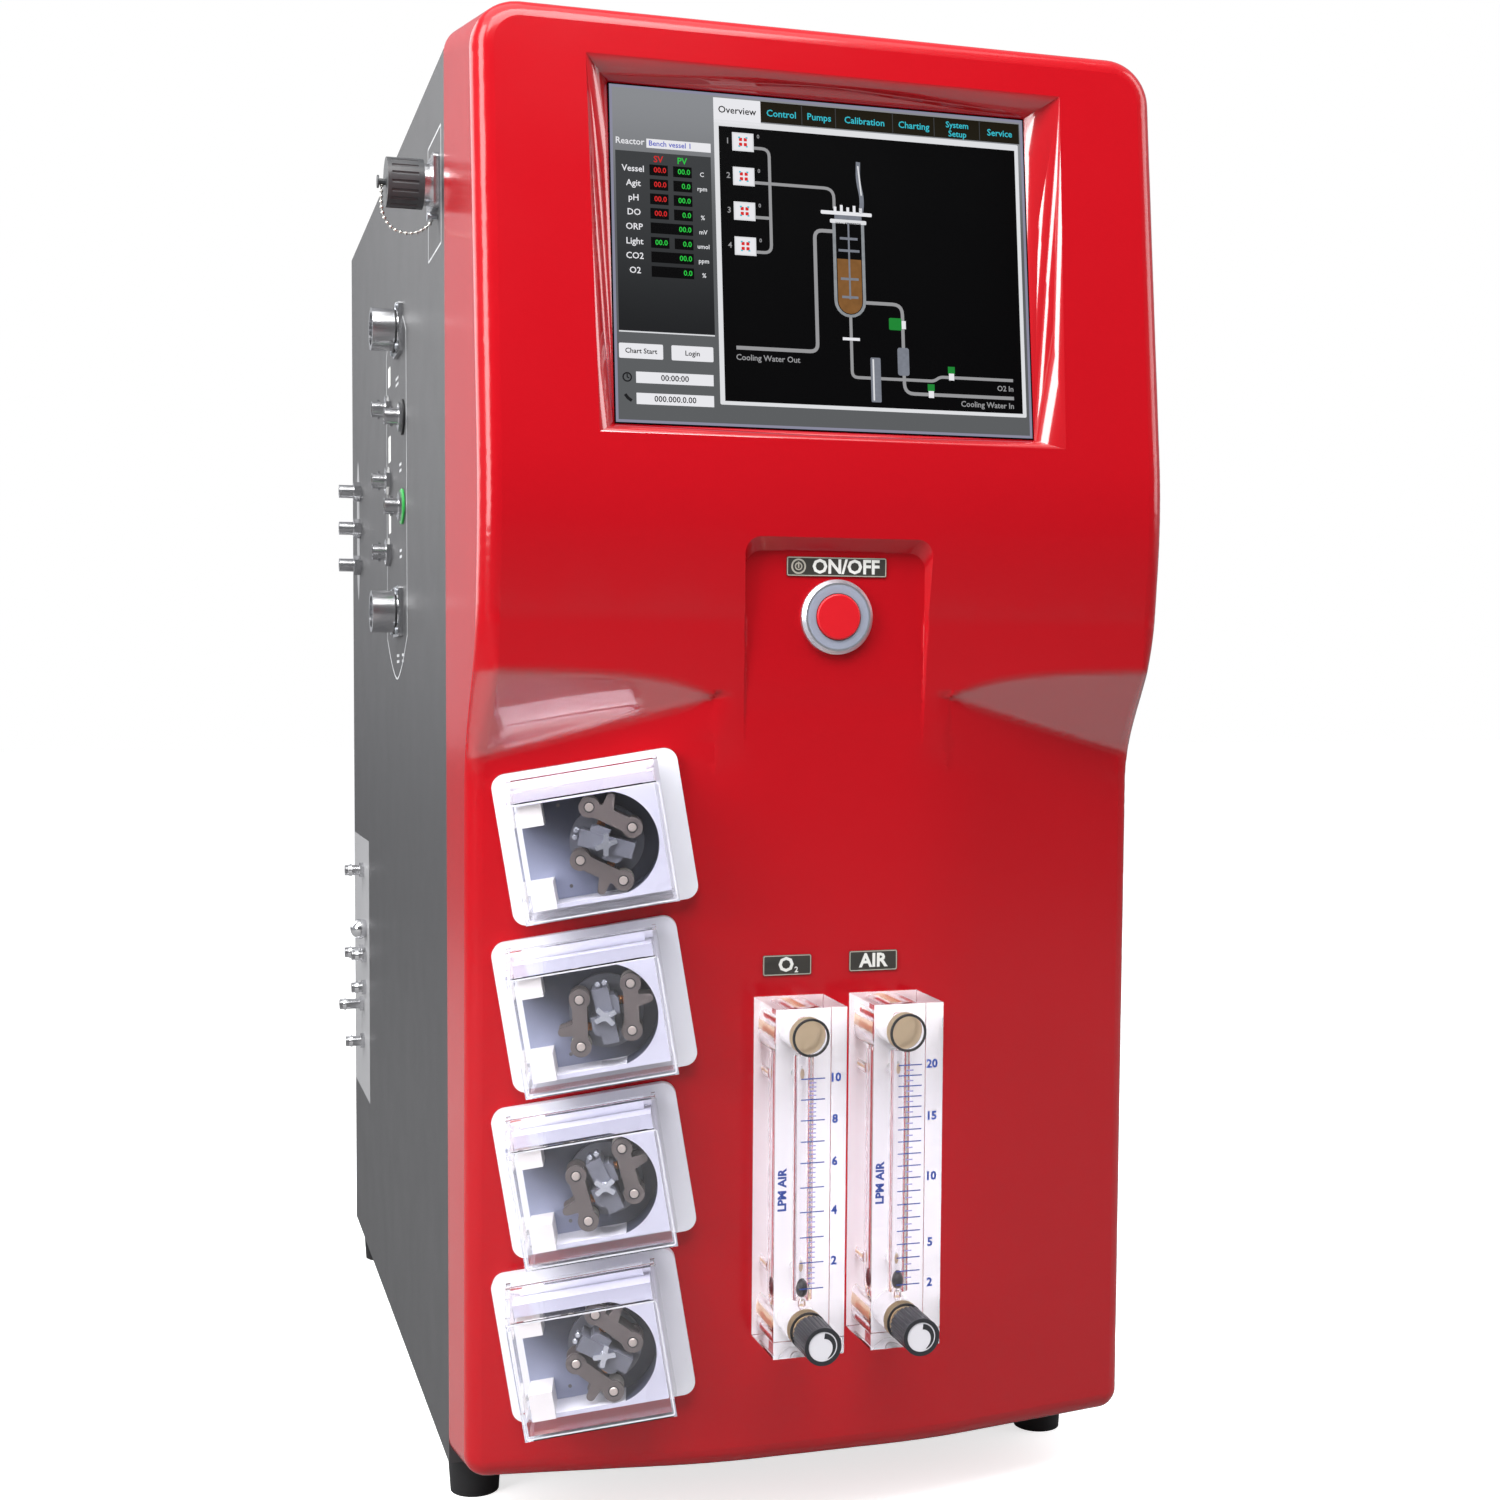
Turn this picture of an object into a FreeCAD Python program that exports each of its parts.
import FreeCAD, Part
import math
import os

# Bench bioreactor controller: a floor-standing-tall bench console.
# A moulded front cover with a sloping display face stands on a folded sheet-metal cabinet.
# Modelling frame: x to the right, y to the back with y = 0 where cover and cabinet meet,
# z up with z = 0 on the bench.  place() moves the finished solids so that the origin is the
# centre of the footprint.  All sizes are millimetres.

Vec = FreeCAD.Vector

# ---------------------------------------------------------------- cabinet
foot_height = 22.0
foot_radius = 14.0
foot_taper = 1.5
foot_inset_side = 16.0
foot_inset_front = 20.0
foot_inset_rear = 35.0
cabinet_width = 350.0
cabinet_height = 710.0
cabinet_depth = 490.0
sheet = 1.5
flange_width = 14.0
rear_panel_margin = 12.0
vent_count = 9
vent_length = 110.0
vent_height = 3.6
vent_pitch = 12.0
vent_bottom = 470.0
vent_column_x = 77.8
pan_lip = 18.0
rear_screw_shares = (0.04, 0.35, 0.65, 0.96)

# ---------------------------------------------------------------- moulded front cover
cover_wall = 4.0
cover_rise = 12.0
cover_floor_gap = 3.0
top_drop_per_mm = 0.15
bottom_rise_per_mm = 0.16
side_draft_per_mm = 0.024
corner_rear_top = 14.0
corner_rear_bottom = 10.0
corner_front_top = 28.0
corner_front_bottom = 12.0
rim_round = 10.0
face_depth_top = 80.0
crease_depth = 100.0
crease_height = 480.0
ledge_height = 400.0
ledge_depth = 90.3
ledge_slope = 0.8
crease_soft = 6.0
ledge_soft = 20.0
ledge_foot_soft = 16.0
ledge_foot_least = 1.6
ledge_blend_width = 40.0
strip_soft = 6.0
strip_depth_bottom = 80.0
strip_depth_top = 89.5
strip_bottom = 14.0
strip_half_width = 57.0
strip_fall = 0.5
across_step = 6.0
coarse_step = 16.0
fine_step = 3.5
facet_slope = 0.25
boss_radius = 8.0
boss_length = 14.0
boss_inset = 11.0
boss_side_shares = (0.12, 0.5)
boss_corner_x = 12.0
boss_corner_z = 6.0
screw_clear = 2.0
screw_hole_gap = 0.2
screw_radius = 2.0
screw_head_radius = 3.6
screw_head_height = 2.4

# ---------------------------------------------------------------- display
glass_width = 214.0
glass_height = 163.0
glass_thickness = 3.0
recess_depth = 14.4
recess_width_top = 241.0
recess_width_bottom = 235.0
recess_height = 178.0
display_centre_height = 599.0
display_gap = 0.3
module_margin = 7.0
module_thickness = 14.0
recess_wall = 3.0
recess_ahead = 6.0

# ---------------------------------------------------------------- power button and its hood
button_height = 426.6
ring_radius = 18.0
ring_height = 3.6
ring_bevel = 1.6
cap_radius = 11.0
cap_clearance = 0.3
cap_proud = 1.2
cap_length = 12.0
cap_travel = 2.5
barrel_radius = 14.0
barrel_length = 20.0
switch_length = 24.0
switch_gap = 0.4
switch_neck_radius = 4.0
cap_crown = 1.0
plate_corner = 0.8
hood_half_width = 45.5
hood_flare = 3.0
hood_top = 457.8
hood_rise = 9.0
hood_corner = 8.0
hood_reach = 9.0
hood_run_out = 20.0
hood_foot_corner = 0.5
hood_floor = 0.3
plate_thickness = 0.6
plate_gap = 0.06
button_plate = (50.6, 9.2, 0.0, 450.6)
oxygen_plate = (24.4, 9.8, -23.3, 259.0)
air_plate = (24.8, 9.9, 20.8, 259.6)

# ---------------------------------------------------------------- peristaltic pumps
pump_count = 4
pump_x = -114.6
pump_top_height = 322.2
pump_pitch = 79.8
pump_tilt = 9.28
flange_w = 88.7
flange_h = 72.4
flange_t = 5.0
flange_corner = 6.5
pump_seat_depth = 0.3
pump_seat_gap = 0.3
rotor_u = 5.5
rotor_w = -2.2
track_radius = 24.5
wall_below_track = 1.3
wall_above_track = 4.7
wall_beside_track = 2.0
mouth_run = 14.0
mouth_step = 0.8
body_left = rotor_u - track_radius - mouth_run
body_right = rotor_u + track_radius + wall_beside_track
body_low = rotor_w - track_radius - wall_below_track
body_high = rotor_w + track_radius + wall_above_track
body_front = 26.0
cavity_floor = 9.0
floor_hole_radius = 1.3
floor_hole_depth = 4.0
floor_hole_u = -15.0
floor_hole_rise = 19.0
shaft_radius = 3.0
running_gap = 0.05
spigot_half_w = 29.0
spigot_half_h = 23.0
spigot_depth = 6.0
spigot_gap = 0.5
lid_wall = 2.0
lid_side_gap = 1.0
lid_swing_gap = 2.0
lid_left = body_left - lid_side_gap - lid_wall
lid_right = body_right + lid_side_gap + lid_wall
lid_low = body_low - lid_swing_gap - lid_wall
lid_front = 40.0
lid_back = 6.0
lid_gate_height = 40.0
hinge_rise = 3.0
hinge_w = body_high + hinge_rise
hinge_n = 12.0
lid_high = hinge_w + 3.6
lid_slope_height = body_high - 3.0
lid_slope_back = 19.0
hinge_pin_radius = 2.0
hinge_lug_radius = 3.4
hinge_ear_radius = 4.2
lid_gap = 0.6
roller_radius = 4.8
roller_bore = 1.55
roller_pin = 1.5
roller_x = -14.4
pivot_x = 7.6
arm_offset = 12.0
arm_end_radius = 4.9
arm_half_width = 3.5
arm_plate = 1.8
arm_back = 12.4
arm_front = 24.6
finger_x = -7.3
finger_tip = 22.4
finger_half_width = 2.0
hub_bar_half_length = 13.0
hub_bar_half_height = 3.75
hub_bar_turn = 10.5
seat_start = 1.0
seat_end = 9.6
seat_top = 6.9
stud_radius = 1.2
studs = ((-15.4, -0.1), (-14.6, -3.3))
hub_disc_radius = 17.5
hub_disc_back = 9.6
hub_disc_front = 11.9
hub_front = 26.6
clip_front = 29.0
clip_half_length = 5.2
clip_half_width = 1.1
clip_angles = (45.0, 115.0)
clip_hub_radius = 2.4
spring_radius = 1.7
spring_wire = 0.5
spring_x = -6.0
spring_seat_depth = 2.0
spring_start = seat_top - 0.6 - spring_seat_depth
spring_end = arm_offset - arm_half_width + 2.2
rotor_angles = (-34.6, -97.3, -84.3, -46.3)
motor_radius = 21.0
motor_length = 56.0
gearbox_half = 24.0
gearbox_length = 12.0
shaft_engage = 10.0
clamp_width = 11.0
clamp_high_height = 10.5
clamp_low_height = 11.0
clamp_front = 23.5
clamp_lip = 1.6

# ---------------------------------------------------------------- flowmeters
meter_width = 35.0
meter_depth = 35.0
meter_height = 165.0
meter_bottom = 79.2
meter_xs = (-22.3, 26.2)
meter_seat_gap = 0.05
meter_bore = 5.0
meter_bore_low = 24.0
meter_bore_high = 141.0
passage_radius = 2.0
passage_length = 16.0
plug_tail = 12.0
plug_tail_step = 2.4
port_radius = 9.0
port_low = 11.8
port_high = 151.0
port_depth = 26.0
port_gap = 0.1
float_radius = 4.4
stem_radius = 3.0
collar_radius = 4.8
collar_length = 3.0
knob_radius = 8.9
knob_length = 17.6
knob_gap = 0.2
knob_ribs = 24
knob_rib_depth = 0.45
knob_dish_rim = 1.8
knob_dish_depth = 0.5
insert_radius = 2.6
insert_length = 11.0
insert_heights = (37.0, 130.0)

# ---------------------------------------------------------------- left panel fittings
socket_y = 30.0
socket_z = 650.0
socket_flange = 28.0
socket_flange_t = 3.0
socket_radius = 10.5
socket_length = 12.0
cap_outer_radius = 12.5
cap_inner_radius = 10.8
cap_from = 7.0
cap_to = 25.5
cap_end_wall = 3.0
cap_ribs = 18
cap_rib_depth = 0.6
cap_stud_radius = 1.6
cap_stud_length = 3.6
cap_stud_head_radius = 3.2
cap_stud_head = 0.8
chain_radius = 1.0
chain_gap = 0.3
chain_screw = (27.0, 633.4)
chain_screw_radius = 1.2
chain_screw_length = 3.8
chain_screw_head_radius = 2.3
chain_screw_head = 1.2
large_sockets = ((190.0, 605.0), (196.0, 439.0))
large_socket_flange = 30.0
large_socket_radius = 12.5
large_socket_length = 17.0
large_socket_wall = 3.0
socket_well = 9.0
small_sockets = ((176.0, 552.0), (178.0, 500.0), (246.0, 566.0), (246.0, 522.0), (246.0, 478.0))
small_socket_radius = 4.8
small_socket_length = 11.0
small_socket_wall = 1.1
small_socket_well = 7.0
small_nut_radius = 7.5
small_nut_length = 3.0
gas_fittings = ((432.0, 534.0), (433.0, 508.0), (434.0, 482.0))
gas_radius = 4.6
gas_length = 15.0
gas_nut_across = 12.0
gas_nut_length = 5.0
gas_bore = 2.5
water_fittings = ((424.0, 265.0, 13.0), (410.0, 206.0, 10.0), (428.0, 206.0, 13.0), (412.0, 183.0, 10.0),
                  (428.0, 169.0, 17.0), (424.0, 143.0, 13.0))
water_radius = 3.6
water_nut_across = 9.0
water_nut_length = 3.0
dome_fitting = (408.0, 225.0)
dome_radius = 7.0

# ---------------------------------------------------------------- inside and rear
inlet_width = 50.0
inlet_height = 28.0
inlet_depth = 24.0
inlet_x = 110.0
inlet_z = 70.0
inlet_rim = 5.0
inlet_rim_thickness = 2.0
inlet_fuse_width = 20.0
inlet_wall = 4.0
supply_size = (120.0, 200.0, 50.0)
supply_x = 70.0
supply_y = 250.0
board_size = (140.0, 240.0)
board_thickness = 1.6
board_x = -85.0
board_y = 240.0
standoff_height = 12.0
standoff_radius = 3.0
standoff_inset = 10.0

cabinet_bottom = foot_height
cabinet_top = cabinet_bottom + cabinet_height
half_width = cabinet_width / 2.0
knob_reach = knob_length + collar_length
shapes = {}


def world(height):
    """Height above the bench of a height above the cabinet's underside."""
    return height + cabinet_bottom


def frame(origin, turn=0.0, lean=0.0, roll=0.0):
    """A placement whose x runs across a front face, y up it and z straight out of it.

    turn swings the face towards +x, lean tips its top forward, roll turns it in its own plane.
    """
    base = FreeCAD.Placement(Vec(*origin), FreeCAD.Rotation(Vec(1, 0, 0), 90))
    swing = FreeCAD.Placement(Vec(0, 0, 0), FreeCAD.Rotation(Vec(0, 1, 0), turn))
    tip = FreeCAD.Placement(Vec(0, 0, 0), FreeCAD.Rotation(Vec(1, 0, 0), lean))
    spin = FreeCAD.Placement(Vec(0, 0, 0), FreeCAD.Rotation(Vec(0, 0, 1), roll))
    return base.multiply(swing).multiply(tip).multiply(spin)


def put(shape, placement):
    """A copy of a shape moved from its local frame to the cabinet's."""
    moved = shape.copy()
    moved.Placement = placement.multiply(shape.Placement)
    return moved


def block(x0, x1, y0, y1, z0, z1):
    return Part.makeBox(x1 - x0, y1 - y0, z1 - z0, Vec(x0, y0, z0))


def rod(x, y, z0, z1, radius):
    """A cylinder along local z."""
    return Part.makeCylinder(radius, z1 - z0, Vec(x, y, z0), Vec(0, 0, 1))


def prism(points, z0, z1):
    """A polygon in the local xy plane, drawn out along z."""
    corners = [Vec(px, py, z0) for px, py in points]
    wire = Part.makePolygon(corners + [corners[0]])
    return Part.Face(wire).extrude(Vec(0, 0, z1 - z0))


def profile_across(points, x0, x1):
    """A polygon in the yz plane, drawn out along x."""
    corners = [Vec(x0, py, pz) for py, pz in points]
    wire = Part.makePolygon(corners + [corners[0]])
    return Part.Face(wire).extrude(Vec(x1 - x0, 0, 0))


def rounded_wire(x0, x1, y0, y1, radii, z):
    """A rounded rectangle; radii start at the low-x low-y corner and run anticlockwise."""
    r0, r1, r2, r3 = radii
    corners = (
        (x1 - r1, y0 + r1, r1, -90.0),
        (x1 - r2, y1 - r2, r2, 0.0),
        (x0 + r3, y1 - r3, r3, 90.0),
        (x0 + r0, y0 + r0, r0, 180.0),
    )
    edges = []
    start = Vec(x0 + r0, y0, z)
    for cx, cy, r, angle in corners:
        a = math.radians(angle)
        m = math.radians(angle + 45.0)
        b = math.radians(angle + 90.0)
        first = Vec(cx + r * math.cos(a), cy + r * math.sin(a), z)
        middle = Vec(cx + r * math.cos(m), cy + r * math.sin(m), z)
        last = Vec(cx + r * math.cos(b), cy + r * math.sin(b), z)
        edges.append(Part.LineSegment(start, first).toShape())
        edges.append(Part.Arc(first, middle, last).toShape())
        start = last
    return Part.Wire(edges)


def rounded_block(x0, x1, y0, y1, z0, z1, radius):
    wire = rounded_wire(x0, x1, y0, y1, (radius,) * 4, z0)
    return Part.Face(wire).extrude(Vec(0, 0, z1 - z0))


def cut_all(base, tools):
    for tool in tools:
        base = base.cut(tool)
    return base


def fuse_all(items):
    base = items[0]
    for item in items[1:]:
        base = base.fuse(item)
    return base.removeSplitter()


def keep(name, shape):
    shapes[name] = shape


# ================================================================ front cover
def face_depth(height):
    """Depth of the sloping display face in front of the cabinet."""
    slope = (crease_depth - face_depth_top) / (cabinet_height - crease_height)
    return face_depth_top + slope * (cabinet_height - height)


def strip_depth(height):
    """Depth of the flat middle strip under the crease."""
    slope = (strip_depth_top - strip_depth_bottom) / (ledge_height - strip_bottom)
    return strip_depth_bottom + slope * (height - strip_bottom)


def facet_depth(x, height):
    """Depth of the lower face, whose sides fall back from the middle strip."""
    return strip_depth(height) - facet_slope * max(abs(x) - strip_half_width, 0.0)


def soft_min(a, b, soft):
    """The smaller of two depths, with the corner between the two surfaces rounded off."""
    share = max(soft - abs(a - b), 0.0) / soft
    return min(a, b) - share * share * soft / 4.0


def soft_max(a, b, soft):
    return -soft_min(-a, -b, soft)


def front_depth(x, height):
    """Depth of the whole front: display face, crease, ledge, middle strip and side facets."""
    slant_slope = (crease_depth - ledge_depth) / (crease_height - ledge_height)
    slant = crease_depth - slant_slope * (crease_height - height)
    ledge = ledge_depth - ledge_slope * (ledge_height - height)
    upper = soft_min(soft_min(face_depth(height), slant, crease_soft), ledge, ledge_soft)
    strip = strip_depth(min(height, ledge_height)) - strip_fall * max(height - ledge_height, 0.0)
    side = strip - facet_slope * (abs(x) - strip_half_width)
    beside = max(abs(x) - strip_half_width, 0.0) / ledge_blend_width
    foot_soft = min(ledge_foot_least + ledge_foot_soft * beside, ledge_foot_soft)
    return soft_max(upper, soft_min(strip, side, strip_soft), foot_soft)


def steps(start, stop, step):
    """Evenly spaced values from start to stop, about one step apart."""
    count = max(int(round((stop - start) / step)), 1)
    return [start + (stop - start) * k / count for k in range(count)]


face_lean = -math.degrees(math.atan((crease_depth - face_depth_top) / (cabinet_height - crease_height)))
strip_lean = math.degrees(math.atan((strip_depth_top - strip_depth_bottom) / (ledge_height - strip_bottom)))
facet_turn = math.degrees(math.atan(facet_slope))
hull_reach = crease_depth + 10.0


def cover_hull(inset):
    """Side, top and bottom walls: a rounded rectangle that tapers towards the front."""
    y_rear = 1.0 if inset else 0.0
    wires = []
    for depth in (-y_rear, hull_reach):
        share = depth / hull_reach
        half = half_width - inset - side_draft_per_mm * depth
        low = world(cover_floor_gap) + inset + bottom_rise_per_mm * depth
        high = cabinet_top + cover_rise - inset - top_drop_per_mm * depth
        top_corner = corner_rear_top + (corner_front_top - corner_rear_top) * share - inset * 0.5
        low_corner = corner_rear_bottom + (corner_front_bottom - corner_rear_bottom) * share - inset * 0.5
        wire = rounded_wire(-half, half, low, high, (low_corner, low_corner, top_corner, top_corner), 0.0)
        wire.Placement = FreeCAD.Placement(Vec(0, -depth, 0), FreeCAD.Rotation(Vec(1, 0, 0), 90))
        wires.append(wire)
    return Part.makeLoft(wires, True, True)


def cover_front_mass(inset):
    """Everything behind the front surface, as one smooth face drawn backwards."""
    outside = half_width + 20.0
    low = -40.0
    high = cabinet_height + 50.0
    fine_low = ledge_height - 70.0
    fine_high = crease_height + 20.0
    xs = steps(-outside, outside, across_step) + [outside]
    heights = steps(low, fine_low, coarse_step)
    heights += steps(fine_low, fine_high, fine_step)
    heights += steps(fine_high, high, coarse_step) + [high]
    rows = [[Vec(x, inset - front_depth(x, height), world(height)) for height in heights] for x in xs]
    surface = Part.BSplineSurface()
    surface.interpolate(rows)
    return surface.toShape().extrude(Vec(0, 3.0 * crease_depth, 0))


def cover_solid(inset):
    return cover_hull(inset).common(cover_front_mass(inset))


def rim_edges(solid):
    """The edges where the front surface meets the side, top and bottom walls."""
    front = max(solid.Faces, key=lambda face: face.Area if face.BoundBox.YMax < -1.0 else 0.0)
    return front.Edges


def display_frame():
    return frame((0.0, -face_depth(display_centre_height), world(display_centre_height)), lean=face_lean)


def strip_frame(x, height):
    return frame((x, -strip_depth(height), world(height)), lean=strip_lean)


def button_frame():
    """The frame of the power button's pocket, whose floor stands a little in front of the strip."""
    return strip_frame(0.0, button_height).multiply(FreeCAD.Placement(Vec(0, 0, hood_floor), FreeCAD.Rotation()))


def tapered_block(front, rear):
    """A solid between two rectangles given as (top width, bottom width, height, z)."""
    wires = []
    for top, bottom, height, z in (rear, front):
        corners = [
            Vec(-bottom / 2.0, -height / 2.0, z),
            Vec(bottom / 2.0, -height / 2.0, z),
            Vec(top / 2.0, height / 2.0, z),
            Vec(-top / 2.0, height / 2.0, z),
        ]
        wires.append(Part.makePolygon(corners + [corners[0]]))
    return Part.makeLoft(wires, True, True)


def recess_tools():
    """The block that holds the display recess and the hollow that is cut from it."""
    window_w = glass_width + 2.0 * display_gap
    window_h = glass_height + 2.0 * display_gap
    ahead = recess_ahead
    flare = ahead / recess_depth
    front = (
        recess_width_top + (recess_width_top - window_w) * flare,
        recess_width_bottom + (recess_width_bottom - window_w) * flare,
        recess_height + (recess_height - window_h) * flare,
        ahead,
    )
    hollow = tapered_block(front, (window_w, window_w, window_h, -recess_depth))
    grow = 2.0 * recess_wall
    outer_w = window_w + 2.0 * grow
    outer_h = window_h + 2.0 * grow
    backing = tapered_block(
        (recess_width_top + grow, recess_width_bottom + grow, recess_height + grow, -cover_wall / 2.0),
        (outer_w, outer_w, outer_h, -recess_depth - glass_thickness),
    )
    window = block(
        -window_w / 2.0, window_w / 2.0, -window_h / 2.0, window_h / 2.0,
        -recess_depth - glass_thickness - 1.0, -recess_depth + 1.0,
    )
    return backing, hollow, window


def hood_loft(back, grow):
    """The flaring shape of the pocket over the power button, from z = back outwards."""
    bottom = ledge_height - hood_run_out - button_height
    top = hood_top - button_height + grow
    wires = []
    for z in (back, 2.0 * hood_reach):
        half = hood_half_width + grow + hood_flare * z / hood_reach
        rise = hood_rise * z / hood_reach
        corner = hood_corner + grow
        corners = (hood_foot_corner, hood_foot_corner, corner, corner)
        wires.append(rounded_wire(-half, half, bottom, top + rise, corners, z))
    return Part.makeLoft(wires, True, True)


def pump_frame(index):
    height = pump_top_height - index * pump_pitch
    origin = (pump_x, pump_seat_depth - facet_depth(pump_x, height), world(height))
    slope = math.tan(math.radians(strip_lean)) * math.cos(math.radians(facet_turn))
    return frame(origin, turn=-facet_turn, lean=math.degrees(math.atan(slope)), roll=pump_tilt)


def boss_places():
    side = half_width - boss_inset
    upper = cabinet_top - boss_inset - sheet
    places = []
    for sx in (-1.0, 1.0):
        for share in boss_side_shares:
            places.append((sx * side, world(share * cabinet_height)))
        places.append((sx * (side - boss_corner_x), upper - boss_corner_z))
    return places


def make_front_cover():
    sharp = cover_solid(0.0)
    outer = sharp.makeFillet(rim_round, rim_edges(sharp))
    inner = cover_solid(cover_wall)
    shell = outer.cut(inner)
    lip = block(
        -half_width + 20.0, half_width - 20.0, -8.0, 0.0,
        cabinet_top - flange_width, cabinet_top + cover_rise - cover_wall + 1.0,
    )
    parts = [shell, lip]
    for x, z in boss_places():
        post = Part.makeCylinder(boss_radius, boss_length, Vec(x, -boss_length, z), Vec(0, 1, 0))
        parts.append(post.common(outer))
    backing, hollow, window = recess_tools()
    parts.append(put(backing, display_frame()))
    hood_at = button_frame()
    parts.append(put(hood_loft(-cover_wall, cover_wall), hood_at).common(outer))
    cover = fuse_all(parts)
    tools = [put(hollow, display_frame()), put(window, display_frame())]
    tools.append(put(hood_loft(0.0, 0.0), hood_at))
    hole = barrel_radius + cap_clearance
    tools.append(put(rod(0.0, 0.0, -barrel_length, 20.0, hole), hood_at))
    for index in range(pump_count):
        half_w = spigot_half_w + spigot_gap
        half_h = spigot_half_h + spigot_gap
        opening = block(-half_w, half_w, -half_h, half_h, -3.0 * cover_wall, 3.0 * cover_wall)
        half_w = flange_w / 2.0 + pump_seat_gap
        half_h = flange_h / 2.0 + pump_seat_gap
        corner = flange_corner + pump_seat_gap
        seat = rounded_block(-half_w, half_w, -half_h, half_h, 0.0, 2.0 * flange_t, corner)
        tools += [put(opening, pump_frame(index)), put(seat, pump_frame(index))]
    for x in meter_xs:
        for low in (port_low, port_high):
            at = strip_frame(x, meter_bottom + low)
            tools.append(put(rod(0.0, 0.0, -10.0, 10.0, port_radius - 2.0), at))
    for x, z in boss_places():
        bore_end = Vec(x, screw_clear - boss_length, z)
        tools.append(Part.makeCylinder(screw_radius, boss_length, bore_end, Vec(0, 1, 0)))
    keep("front_cover", cut_all(cover, tools))


# ================================================================ cabinet
def make_cabinet():
    outer = block(-half_width, half_width, 0.0, cabinet_depth, cabinet_bottom, cabinet_top)
    inner = block(
        -half_width + sheet, half_width - sheet, sheet, cabinet_depth + 1.0,
        cabinet_bottom - 1.0, cabinet_top - sheet,
    )
    mouth = block(
        -half_width + flange_width, half_width - flange_width, -1.0, sheet + 1.0,
        cabinet_bottom - 1.0, cabinet_top - flange_width,
    )
    holes = []
    for x, z in boss_places():
        holes.append(Part.makeCylinder(screw_radius + screw_hole_gap, 4.0, Vec(x, -1.0, z), Vec(0, 1, 0)))
    keep("cabinet_shell", cut_all(outer, [inner, mouth] + holes))

    pan_half = half_width - sheet
    pan_top = cabinet_bottom + pan_lip
    pan = block(-pan_half, pan_half, sheet, cabinet_depth - sheet, cabinet_bottom, pan_top)
    hollow = block(
        -pan_half + sheet, pan_half - sheet, 2.0 * sheet, cabinet_depth - 2.0 * sheet,
        cabinet_bottom + sheet, pan_top + 1.0,
    )
    keep("base_pan", pan.cut(hollow))

    panel = block(
        -half_width + sheet, half_width - sheet, cabinet_depth - sheet, cabinet_depth,
        cabinet_bottom, cabinet_top - sheet,
    )
    slots = []
    for column in (-1.0, 1.0):
        for row in range(vent_count):
            z = world(vent_bottom) + row * vent_pitch
            x = column * vent_column_x
            slots.append(block(
                x - vent_length / 2.0, x + vent_length / 2.0, cabinet_depth - 3.0, cabinet_depth + 1.0,
                z, z + vent_height,
            ))
    slots.append(block(
        inlet_x - inlet_width / 2.0, inlet_x + inlet_width / 2.0, cabinet_depth - 3.0, cabinet_depth + 1.0,
        world(inlet_z), world(inlet_z) + inlet_height,
    ))
    keep("rear_panel", cut_all(panel, slots))

    feet = []
    for x in (-half_width + foot_inset_side, half_width - foot_inset_side):
        for y in (foot_inset_front, cabinet_depth - foot_inset_rear):
            feet.append(Part.makeCone(foot_radius - foot_taper, foot_radius, foot_height, Vec(x, y, 0.0)))
    keep("rubber_feet", Part.makeCompound(feet))


def make_screws():
    screws = []
    for x, z in boss_places():
        tip = Vec(x, 2.0 * screw_clear - boss_length, z)
        shank = Part.makeCylinder(screw_radius, boss_length - screw_clear, tip, Vec(0, 1, 0))
        head = Part.makeCylinder(screw_head_radius, screw_head_height, Vec(x, sheet, z), Vec(0, 1, 0))
        screws.append(shank.fuse(head))
    for sx in (-1.0, 1.0):
        for share in rear_screw_shares:
            x = sx * (half_width - rear_panel_margin)
            z = cabinet_bottom + share * cabinet_height
            screws.append(Part.makeCylinder(
                screw_head_radius, screw_head_height, Vec(x, cabinet_depth, z), Vec(0, 1, 0)
            ))
    at = side_frame(*chain_screw)
    shank = rod(0, 0, 0.0, chain_screw_length, chain_screw_radius)
    head = rod(0, 0, chain_screw_length, chain_screw_length + chain_screw_head, chain_screw_head_radius)
    screws.append(put(shank.fuse(head).removeSplitter(), at))
    keep("case_screws", Part.makeCompound(screws))


# ================================================================ display
def make_display():
    at = display_frame()
    glass = block(
        -glass_width / 2.0, glass_width / 2.0, -glass_height / 2.0, glass_height / 2.0,
        -recess_depth - glass_thickness, -recess_depth,
    )
    keep("touch_screen", put(glass, at))
    half_w = glass_width / 2.0 + module_margin
    half_h = glass_height / 2.0 + module_margin
    back = -recess_depth - glass_thickness
    module = block(-half_w, half_w, -half_h, half_h, back - module_thickness, back)
    keep("display_module", put(module, at))


# ================================================================ power button
def make_button():
    at = button_frame()
    shoulder = ring_height - ring_bevel
    ring = Part.makeCone(ring_radius, ring_radius - ring_bevel, ring_bevel, Vec(0, 0, shoulder))
    ring = ring.fuse(rod(0, 0, 0.0, shoulder, ring_radius))
    ring = ring.fuse(rod(0, 0, -barrel_length, 0.0, barrel_radius))
    ring = ring.cut(rod(0, 0, -barrel_length - 1.0, ring_height + 1.0, cap_radius + cap_clearance))
    keep("button_ring", put(ring.removeSplitter(), at))
    top = ring_height + cap_proud
    cap = rod(0, 0, top - cap_length, top, cap_radius)
    crown = [edge for edge in cap.Edges if edge.Closed and edge.BoundBox.ZMin > top - 0.1]
    keep("button_cap", put(cap.makeFillet(cap_crown, crown), at))
    body = rod(0, 0, -barrel_length - switch_length, -barrel_length, barrel_radius - 1.0)
    neck = rod(0, 0, -barrel_length, top - cap_length - cap_travel - switch_gap, switch_neck_radius)
    keep("button_switch", put(body.fuse(neck).removeSplitter(), at))


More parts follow.
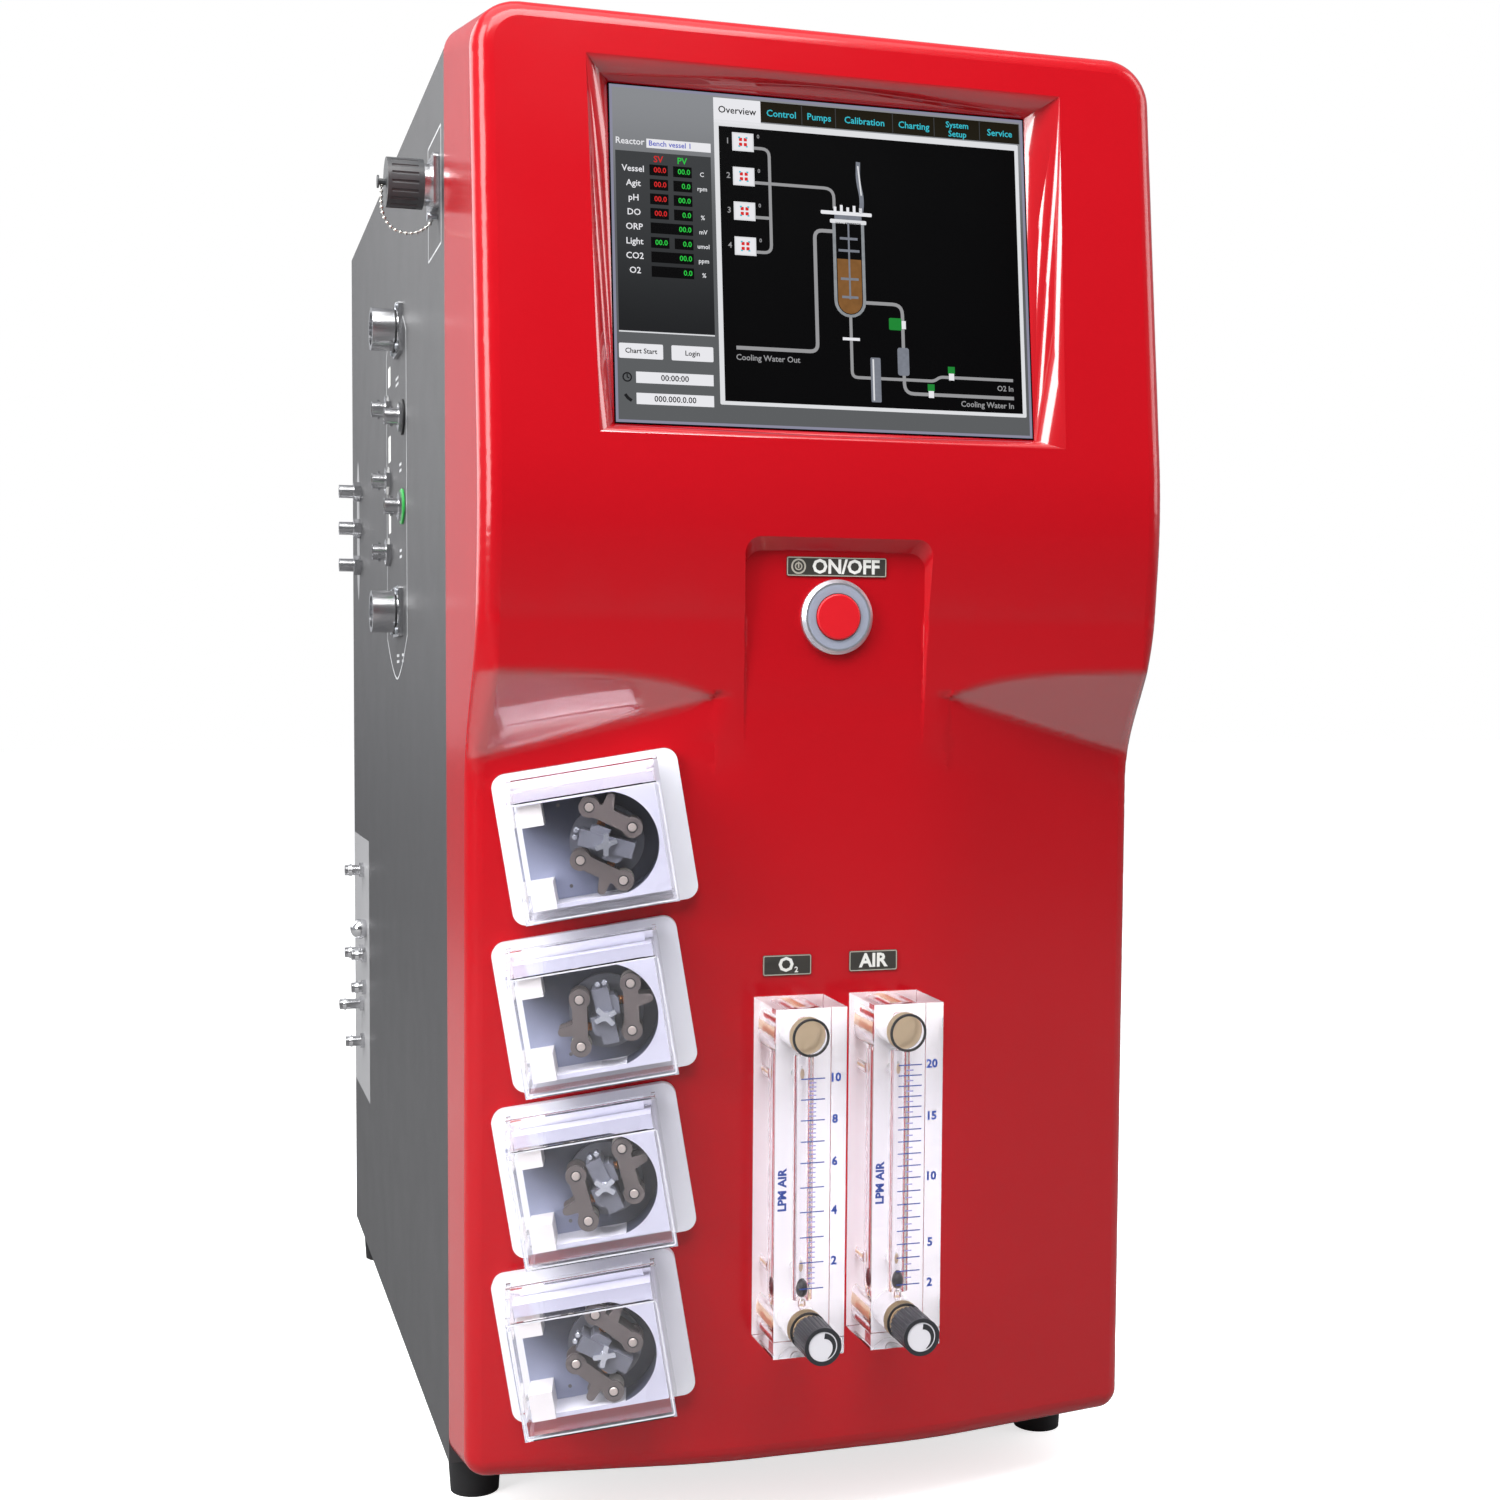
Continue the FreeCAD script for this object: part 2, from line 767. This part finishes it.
def make_name_plates():
    plates = []
    for (width, height, x, z), floor in ((button_plate, hood_floor), (oxygen_plate, 0.0), (air_plate, 0.0)):
        half_w = width / 2.0
        half_h = height / 2.0
        low = floor + plate_gap
        plate = rounded_block(-half_w, half_w, -half_h, half_h, low, low + plate_thickness, plate_corner)
        plates.append(put(plate, strip_frame(x, z)))
    keep("name_plates", Part.makeCompound(plates))


# ================================================================ pumps
def turned(shape, angle, u=0.0, w=0.0):
    """A shape made about the rotor's own axis, turned and set on the pump."""
    copy = shape.copy()
    copy.Placement = FreeCAD.Placement(Vec(u, w, 0), FreeCAD.Rotation(Vec(0, 0, 1), angle))
    return copy


def pump_housing():
    flange = rounded_block(
        -flange_w / 2.0, flange_w / 2.0, -flange_h / 2.0, flange_h / 2.0, 0.0, flange_t, flange_corner
    )
    body = block(body_left, body_right, body_low, body_high, 0.0, body_front)
    spigot = block(-spigot_half_w, spigot_half_w, -spigot_half_h, spigot_half_h, -spigot_depth, 0.0)
    lug = Part.makeCylinder(
        hinge_lug_radius, body_right - body_left - 6.0, Vec(body_left + 3.0, hinge_w, hinge_n), Vec(1, 0, 0)
    )
    web = block(body_left + 3.0, body_right - 3.0, body_high - 1.0, hinge_w + 0.5, flange_t - 1.0, hinge_n)
    pin = Part.makeCylinder(
        hinge_pin_radius, lid_right - lid_left - 2.0 * lid_gap,
        Vec(lid_left + lid_gap, hinge_w, hinge_n), Vec(1, 0, 0)
    )
    solid = fuse_all([flange, body, spigot, lug, web, pin])
    cavity = rod(rotor_u, rotor_w, cavity_floor, body_front + 1.0, track_radius)
    mouth_half = track_radius - mouth_step
    mouth = block(
        body_left - 1.0, rotor_u, rotor_w - mouth_half, rotor_w + mouth_half, cavity_floor, body_front + 1.0
    )
    shaft_hole = rod(rotor_u, rotor_w, -spigot_depth - 1.0, cavity_floor + 1.0, shaft_radius + running_gap)
    tools = [cavity, mouth, shaft_hole]
    hole_end = cavity_floor - floor_hole_depth
    for rise in (-floor_hole_rise, floor_hole_rise):
        tools.append(rod(floor_hole_u, rotor_w + rise, hole_end, cavity_floor + 1.0, floor_hole_radius))
    return cut_all(solid, tools)


def pump_lid():
    """The clear cover: front, sloping top, side and bottom walls, hinged along its top edge."""
    lug_clear = hinge_n + hinge_lug_radius + lid_gap
    outline = (
        (lid_low, lid_back),
        (lid_low, lid_front),
        (lid_slope_height, lid_front),
        (lid_high, lid_slope_back),
        (lid_high, hinge_n),
        (hinge_w, lid_back),
    )
    hollow = (
        (lid_low + lid_wall, lid_back - 3.0),
        (lid_low + lid_wall, lid_front - lid_wall),
        (lid_slope_height - 0.4 * lid_wall, lid_front - lid_wall),
        (lid_high - lid_wall, lid_slope_back - 0.4 * lid_wall),
        (lid_high - lid_wall, lug_clear),
        (lid_high + 2.0, lug_clear),
        (lid_high + 2.0, lid_back - 3.0),
    )
    solid = profile_across(outline, lid_left, lid_right)
    inside = profile_across(hollow, lid_left + lid_wall, lid_right - lid_wall)
    lid = solid.cut(inside)
    gate_half = lid_gate_height / 2.0
    left_gate = block(
        lid_left - 1.0, lid_left + lid_wall + 0.5, rotor_w - gate_half, rotor_w + gate_half,
        lid_back - 1.0, body_front,
    )
    ears = []
    for x in (lid_left, lid_right - lid_wall):
        ears.append(Part.makeCylinder(hinge_ear_radius, lid_wall, Vec(x, hinge_w, hinge_n), Vec(1, 0, 0)))
    lid = fuse_all([lid] + ears)
    pin_hole = Part.makeCylinder(
        hinge_pin_radius + running_gap, lid_right - lid_left + 2.0,
        Vec(lid_left - 1.0, hinge_w, hinge_n), Vec(1, 0, 0)
    )
    heel = block(lid_left - 1.0, lid_right + 1.0, -40.0, hinge_w + 8.0, -1.0, flange_t + lid_gap)
    return cut_all(lid, [left_gate, pin_hole, heel])


def rotor_solid():
    """Shaft, carrier disc, hub bar, arm pivots and the front clip, about its own axis."""
    shaft = rod(0, 0, -spigot_depth - shaft_engage, hub_front, shaft_radius)
    disc = rod(0, 0, hub_disc_back, hub_disc_front, hub_disc_radius)
    bar = block(
        -hub_bar_half_length, hub_bar_half_length, -hub_bar_half_height, hub_bar_half_height,
        hub_disc_front - 0.1, hub_front,
    )
    clip_hub = rod(0, 0, hub_front - 0.1, clip_front, clip_hub_radius)
    parts = [shaft, disc, turned(bar, hub_bar_turn), clip_hub]
    for angle in clip_angles:
        wing = block(
            -clip_half_length, clip_half_length, -clip_half_width, clip_half_width,
            hub_front - 0.1, clip_front - 1.0,
        )
        parts.append(turned(wing, angle))
    for x, y in studs:
        parts.append(rod(x, y, hub_front - 6.0, hub_front - 0.5, stud_radius))
        parts.append(prism(((x, y + 1.0), (x + 3.5, y + 1.0), (x + 3.5, y - 1.0), (x, y - 1.0)),
                           hub_front - 5.5, hub_front - 2.0))
    seat = prism(
        (
            (-seat_end, 0.0), (0.0, 0.0), (-seat_start, seat_top),
            (-seat_end + 2.0, seat_top - 0.7), (-seat_end, seat_top - 2.6),
        ),
        hub_disc_front - 0.1,
        hub_front - 1.2,
    )
    pin = rod(pivot_x, arm_offset, hub_disc_front - 0.1, arm_front - arm_plate * 0.3, roller_pin)
    pocket_foot = Vec(spring_x, spring_start, arm_middle())
    pocket = Part.makeCylinder(spring_radius + 0.2, 10.0, pocket_foot, Vec(0, 1, 0))
    pockets = []
    for side in (0.0, 180.0):
        parts += [turned(seat, side), turned(pin, side)]
        pockets.append(turned(pocket, side))
    return cut_all(fuse_all(parts), pockets)


def arm_middle():
    return (arm_back + arm_front) / 2.0


def arm_outline(z0, z1):
    """One plate of a roller arm: two round ends, a waist and a pointed tube guide."""
    ends = [rod(x, arm_offset, z0, z1, arm_end_radius) for x in (roller_x, pivot_x)]
    waist = block(
        roller_x, pivot_x, arm_offset - arm_half_width, arm_offset + arm_half_width, z0, z1
    )
    finger = prism(
        (
            (finger_x - finger_half_width, arm_offset), (finger_x + finger_half_width + 3.0, arm_offset),
            (finger_x + finger_half_width, finger_tip - finger_half_width),
            (finger_x - finger_half_width, finger_tip - finger_half_width),
        ),
        z0,
        z1,
    )
    tip = rod(finger_x, finger_tip - finger_half_width, z0, z1, finger_half_width)
    return fuse_all(ends + [waist, finger, tip])


def arm_solid():
    back = arm_outline(arm_back, arm_back + arm_plate)
    front = arm_outline(arm_front - arm_plate, arm_front)
    web = block(
        roller_x + roller_radius + 0.6, pivot_x + 1.0,
        arm_offset - arm_half_width, arm_offset + arm_half_width,
        arm_back + 0.2, arm_front - 0.2,
    )
    pin = rod(roller_x, arm_offset, arm_back + 0.2, arm_front - 0.2, roller_pin)
    arm = fuse_all([back, front, web, pin])
    pivot = rod(pivot_x, arm_offset, arm_back - 1.0, arm_front + 1.0, roller_pin + running_gap)
    pocket_foot = Vec(spring_x, arm_offset - arm_half_width - 0.5, arm_middle())
    pocket = Part.makeCylinder(spring_radius + 0.5, 5.2, pocket_foot, Vec(0, 1, 0))
    return cut_all(arm, [pivot, pocket])


def roller_solid():
    z0 = arm_back + arm_plate + 0.3
    z1 = arm_front - arm_plate - 0.3
    wheel = rod(roller_x, arm_offset, z0, z1, roller_radius)
    return wheel.cut(rod(roller_x, arm_offset, z0 - 1.0, z1 + 1.0, roller_bore))


def spring_solid():
    length = spring_end - spring_start
    foot = Vec(spring_x, spring_start, arm_middle())
    outer = Part.makeCylinder(spring_radius, length, foot, Vec(0, 1, 0))
    inner = Part.makeCylinder(spring_radius - spring_wire, length + 2.0, foot - Vec(0, 1, 0), Vec(0, 1, 0))
    return outer.cut(inner)


def motor_solid():
    front = -spigot_depth
    gearbox = rounded_block(
        -gearbox_half, gearbox_half, -gearbox_half, gearbox_half, front - gearbox_length, front, 4.0
    )
    can = rod(0, 0, front - gearbox_length - motor_length + 10.0, front - gearbox_length, motor_radius)
    bore = rod(0, 0, front - shaft_engage - 1.0, front + 1.0, shaft_radius + running_gap)
    return gearbox.fuse(can).removeSplitter().cut(bore)


def clamp_solids():
    left = body_left + 0.5
    high = rotor_w + track_radius - mouth_step
    low = rotor_w - track_radius + mouth_step
    upper = block(left, left + clamp_width, high - clamp_high_height, high, cavity_floor, clamp_front)
    front = body_front + clamp_lip
    lower = block(left, left + clamp_width, low, low + clamp_low_height, cavity_floor, front)
    ledge = block(left, left + clamp_width, body_low + 0.2, low + 1.0, body_front, front)
    return upper, lower.fuse(ledge).removeSplitter()


def make_pumps():
    motors = []
    clamps = []
    motor = motor_solid()
    housing = pump_housing()
    lid = pump_lid()
    rotor = rotor_solid()
    arm = arm_solid()
    roller = roller_solid()
    spring = spring_solid()
    for index in range(pump_count):
        at = pump_frame(index)
        number = index + 1
        angle = rotor_angles[index]
        keep("pump_%d_housing" % number, put(housing, at))
        keep("pump_%d_cover" % number, put(lid, at))
        keep("pump_%d_rotor" % number, put(turned(rotor, angle, rotor_u, rotor_w), at))
        springs = []
        for letter, side in (("a", 0.0), ("b", 180.0)):
            around = angle + side
            keep("pump_%d_arm_%s" % (number, letter), put(turned(arm, around, rotor_u, rotor_w), at))
            keep("pump_%d_roller_%s" % (number, letter), put(turned(roller, around, rotor_u, rotor_w), at))
            springs.append(put(turned(spring, around, rotor_u, rotor_w), at))
        keep("pump_%d_springs" % number, Part.makeCompound(springs))
        motors.append(put(turned(motor, 0.0, rotor_u, rotor_w), at))
        clamps += [put(clamp, at) for clamp in clamp_solids()]
    keep("pump_motors", Part.makeCompound(motors))
    keep("tube_clamps", Part.makeCompound(clamps))


# ================================================================ flowmeters
def meter_frame(x):
    depth = strip_depth(meter_bottom) + meter_seat_gap
    return frame((x, -depth, world(meter_bottom)), lean=strip_lean)


def make_flowmeters():
    fittings = []
    for index, x in enumerate(meter_xs):
        at = meter_frame(x)
        number = index + 1
        half = meter_width / 2.0
        mid = meter_depth / 2.0
        body = block(-half, half, 0.0, meter_height, 0.0, meter_depth)
        bore_run = meter_bore_high - meter_bore_low
        tools = [Part.makeCylinder(meter_bore, bore_run, Vec(0, meter_bore_low, mid), Vec(0, 1, 0))]
        for low in (port_low, port_high):
            tools.append(rod(0, low, -1.0, port_depth, port_radius))
            passage_foot = Vec(0, min(low, meter_bore_high - 2.0), mid)
            tools.append(Part.makeCylinder(passage_radius, passage_length, passage_foot, Vec(0, 1, 0)))
        tools.append(rod(0, port_low, port_depth - 1.0, meter_depth + 1.0, collar_radius + port_gap))
        for low in insert_heights:
            tools.append(rod(0, low, -1.0, insert_length, insert_radius))
        keep("flowmeter_%d" % number, put(cut_all(body, tools), at))
        for low in (port_low, port_high):
            plug = rod(0, low, -plug_tail, 0.3, port_radius - plug_tail_step)
            plug = plug.fuse(rod(0, low, 0.2, port_depth - 0.2, port_radius - port_gap))
            if low == port_low:
                neck = rod(0, low, port_depth - 0.3, meter_depth + collar_length, collar_radius)
                plug = plug.fuse(neck)
                bore = rod(0, low, mid, meter_depth + collar_length + 1.0, stem_radius + running_gap)
                plug = plug.removeSplitter().cut(bore)
            fittings.append(put(plug.removeSplitter(), at))
        for low in insert_heights:
            fittings.append(put(rod(0, low, 0.0, insert_length - 0.2, insert_radius - port_gap), at))
        ball = Part.makeSphere(float_radius, Vec(0, meter_bore_low + float_radius + 0.3, mid))
        keep("float_%d" % number, put(ball, at))
        keep("valve_knob_%d" % number, put(knob_solid(), at))
    keep("flowmeter_fittings", Part.makeCompound(fittings))


def knob_solid():
    start = meter_depth + collar_length + knob_gap
    stem = rod(0, port_low, meter_depth / 2.0 + 1.0, start + 1.0, stem_radius)
    grip = rod(0, port_low, start, start + knob_length, knob_radius)
    grooves = []
    for step in range(knob_ribs):
        a = 2.0 * math.pi * step / knob_ribs
        x = (knob_radius + 0.3) * math.cos(a)
        y = port_low + (knob_radius + 0.3) * math.sin(a)
        grooves.append(rod(x, y, start - 1.0, start + knob_length - 1.6, 0.3 + knob_rib_depth))
    end = start + knob_length
    dish = rod(0, port_low, end - knob_dish_depth, end + 1.0, knob_radius - knob_dish_rim)
    return cut_all(grip, grooves + [dish]).fuse(stem).removeSplitter()


# ================================================================ left panel
def side_frame(y, z):
    """A frame on the left panel: local z points out of the panel."""
    rotation = FreeCAD.Rotation(Vec(0, 0, 1), 180).multiply(FreeCAD.Rotation(Vec(0, 1, 0), 90))
    return FreeCAD.Placement(Vec(-half_width, y, world(z)), rotation)


def hex_nut(across, z0, z1):
    """A hexagon nut as a plain prism, given its size across the flats."""
    radius = across / math.sqrt(3.0)
    angles = [math.pi * k / 3.0 for k in range(6)]
    points = [(radius * math.cos(a), radius * math.sin(a)) for a in angles]
    return prism(points, z0, z1)


def make_left_panel():
    sockets = []
    half = socket_flange / 2.0
    flange = rounded_block(-half, half, -half, half, 0.0, socket_flange_t, 3.0)
    barrel = rod(0, 0, 0.0, socket_length, socket_radius)
    sockets.append(put(flange.fuse(barrel).removeSplitter(), side_frame(socket_y, socket_z)))
    half = large_socket_flange / 2.0
    for y, z in large_sockets:
        flange = rounded_block(-half, half, -half, half, 0.0, 2.5, 2.0)
        barrel = rod(0, 0, 0.0, large_socket_length, large_socket_radius)
        well = rod(0, 0, large_socket_length - socket_well, large_socket_length + 1.0,
                   large_socket_radius - large_socket_wall)
        sockets.append(put(flange.fuse(barrel).removeSplitter().cut(well), side_frame(y, z)))
    for y, z in small_sockets:
        nut = hex_nut(2.0 * small_nut_radius, 0.0, small_nut_length)
        barrel = rod(0, 0, 0.0, small_socket_length, small_socket_radius)
        hole = rod(0, 0, small_socket_length - small_socket_well, small_socket_length + 1.0,
                   small_socket_radius - small_socket_wall)
        lugs = block(-small_socket_radius - 1.0, small_socket_radius + 1.0, -0.8, 0.8,
                     small_socket_length - 5.0, small_socket_length - 3.4)
        sockets.append(put(nut.fuse(barrel).fuse(lugs).removeSplitter().cut(hole), side_frame(y, z)))
    keep("panel_sockets", Part.makeCompound(sockets))

    cap = rod(0, 0, cap_from, cap_to, cap_outer_radius)
    cap = cap.cut(rod(0, 0, cap_from - 1.0, cap_to - cap_end_wall, cap_inner_radius))
    grooves = []
    for step in range(cap_ribs):
        a = 2.0 * math.pi * step / cap_ribs
        x = (cap_outer_radius + 0.4) * math.cos(a)
        y = (cap_outer_radius + 0.4) * math.sin(a)
        grooves.append(rod(x, y, cap_from + 3.0, cap_to - 2.0, 0.4 + cap_rib_depth))
    stud = rod(0, 0, cap_to - 0.1, cap_to + cap_stud_length, cap_stud_radius)
    stud_end = cap_to + cap_stud_length
    head = rod(0, 0, stud_end - 0.1, stud_end + cap_stud_head, cap_stud_head_radius)
    cap = fuse_all([cut_all(cap, grooves), stud, head])
    keep("socket_cap", put(cap, side_frame(socket_y, socket_z)))

    keep("cap_chain", cord_tube(chain_points(), chain_radius))

    hoses = []
    for y, z in gas_fittings:
        nut = hex_nut(gas_nut_across, 0.0, gas_nut_length)
        tube = rod(0, 0, 0.0, gas_length, gas_radius)
        hole = rod(0, 0, 1.0, gas_length + 1.0, gas_bore)
        hoses.append(put(nut.fuse(tube).removeSplitter().cut(hole), side_frame(y, z)))
    for y, z, length in water_fittings:
        fitting = hose_fitting(water_radius, length, water_nut_across, water_nut_length)
        hoses.append(put(fitting, side_frame(y, z)))
    dome = Part.makeSphere(dome_radius, Vec(0, 0, 4.0)).common(rod(0, 0, 0.0, 20.0, dome_radius + 1.0))
    hoses.append(put(dome, side_frame(*dome_fitting)))
    keep("hose_fittings", Part.makeCompound(hoses))


def chain_points():
    """The route of the cap's chain, as (out of the panel, y, z): it hangs in one short loop."""
    start = cap_to + 2.0
    top = socket_z - cap_stud_radius - chain_gap
    foot_y, foot_z = chain_screw
    end = foot_z - chain_screw_radius - chain_gap
    return (
        (start, socket_y, top),
        (start + 0.4, socket_y, top - 5.0),
        (start + 0.3, socket_y - 0.2, top - 11.0),
        (start - 1.2, socket_y - 0.4, top - 17.0),
        (start - 5.2, socket_y - 0.7, top - 21.8),
        (start - 11.0, socket_y - 1.1, top - 23.8),
        (start - 17.0, foot_y + 1.4, top - 23.4),
        (start - 21.6, foot_y + 0.8, end - 4.7),
        (start - 24.2, foot_y + 0.3, end - 2.1),
        (start - 25.5, foot_y, end),
    )


def cord_tube(points, radius):
    """A tube along straight runs joined by tangent arcs, each as large as its runs allow."""
    corners = [Vec(-half_width - out, y, world(z)) for out, y, z in points]
    edges = []
    radii = []
    start = corners[0]
    for index in range(1, len(corners) - 1):
        before = corners[index - 1] - corners[index]
        after = corners[index + 1] - corners[index]
        turn = math.pi - before.getAngle(after)
        setback = 0.45 * min(before.Length, after.Length)
        radii.append(setback / math.tan(turn / 2.0))
        first = corners[index] + before.normalize() * setback
        last = corners[index] + after.normalize() * setback
        half = (before + after).normalize()
        reach = radii[-1] / math.cos(turn / 2.0) - radii[-1]
        middle = corners[index] + half * reach
        edges.append(Part.LineSegment(start, first).toShape())
        edges.append(Part.Arc(first, middle, last).toShape())
        start = last
    edges.append(Part.LineSegment(start, corners[-1]).toShape())
    path = Part.Wire(edges)
    ring = Part.makeCircle(radius, corners[0], corners[1] - corners[0])
    tube = path.makePipeShell([Part.Wire([ring])], True, False)
    print("chain length %.1f, radii" % path.Length, [round(value, 1) for value in radii])
    print("chain volume %.2f of %.2f" % (tube.Volume, math.pi * radius * radius * path.Length))
    return tube


def hose_fitting(radius, length, across, nut_length):
    """A hose tail on a hex nut: a tube with one barb and an open end."""
    nut = hex_nut(across, 0.0, nut_length)
    tube = rod(0, 0, 0.0, length, radius)
    ring = Part.makeCone(radius + 0.8, radius, 2.5, Vec(0, 0, length - 4.5))
    hole = rod(0, 0, 1.0, length + 1.0, radius * 0.55)
    return nut.fuse(tube).fuse(ring).removeSplitter().cut(hole)


# ================================================================ inside
def make_inside():
    x0 = inlet_x - inlet_width / 2.0
    z0 = world(inlet_z)
    tub = block(
        x0 + 0.5, x0 + inlet_width - 0.5, cabinet_depth - inlet_depth, cabinet_depth,
        z0 + 0.5, z0 + inlet_height - 0.5,
    )
    rim = block(
        x0 - inlet_rim, x0 + inlet_width + inlet_rim, cabinet_depth, cabinet_depth + inlet_rim_thickness,
        z0 - inlet_wall, z0 + inlet_height + inlet_wall,
    )
    well = block(
        x0 + 1.5 * inlet_wall, x0 + inlet_width - inlet_fuse_width,
        cabinet_depth - inlet_depth + inlet_wall, cabinet_depth + inlet_rim_thickness + 1.0,
        z0 + inlet_wall, z0 + inlet_height - inlet_wall,
    )
    keep("power_inlet", tub.fuse(rim).removeSplitter().cut(well))

    width, length, height = supply_size
    floor = cabinet_bottom + sheet
    keep("power_supply", block(
        supply_x - width / 2.0, supply_x + width / 2.0, supply_y - length / 2.0, supply_y + length / 2.0,
        floor, floor + height,
    ))
    half_w = board_size[0] / 2.0
    half_l = board_size[1] / 2.0
    posts = []
    for sx in (-1.0, 1.0):
        for sy in (-1.0, 1.0):
            x = board_x + sx * (half_w - standoff_inset)
            y = board_y + sy * (half_l - standoff_inset)
            posts.append(Part.makeCylinder(standoff_radius, standoff_height, Vec(x, y, floor)))
    under = floor + standoff_height
    board = block(
        board_x - half_w, board_x + half_w, board_y - half_l, board_y + half_l,
        under, under + board_thickness,
    )
    keep("control_board", Part.makeCompound([board] + posts))


def place():
    """Move everything so that the origin is the middle of the footprint on the bench."""
    left = -half_width - cap_to - cap_stud_length - cap_stud_head
    right = half_width
    front = -(strip_depth(meter_bottom + port_low) + meter_seat_gap + meter_depth + knob_reach + knob_gap)
    rear = cabinet_depth + screw_head_height
    offset = Vec(-(left + right) / 2.0, -(front + rear) / 2.0, 0.0)
    print("offset", round(offset.x, 4), round(offset.y, 4))
    for name in shapes:
        shapes[name].translate(offset)


def main():
    make_front_cover()
    make_cabinet()
    make_screws()
    make_display()
    make_button()
    make_name_plates()
    make_pumps()
    make_flowmeters()
    make_left_panel()
    make_inside()
    place()
    os.makedirs("parts", exist_ok=True)
    for name, shape in shapes.items():
        shape.exportStep("parts/%s.step" % name)
    print(len(shapes), "nodes")


main()
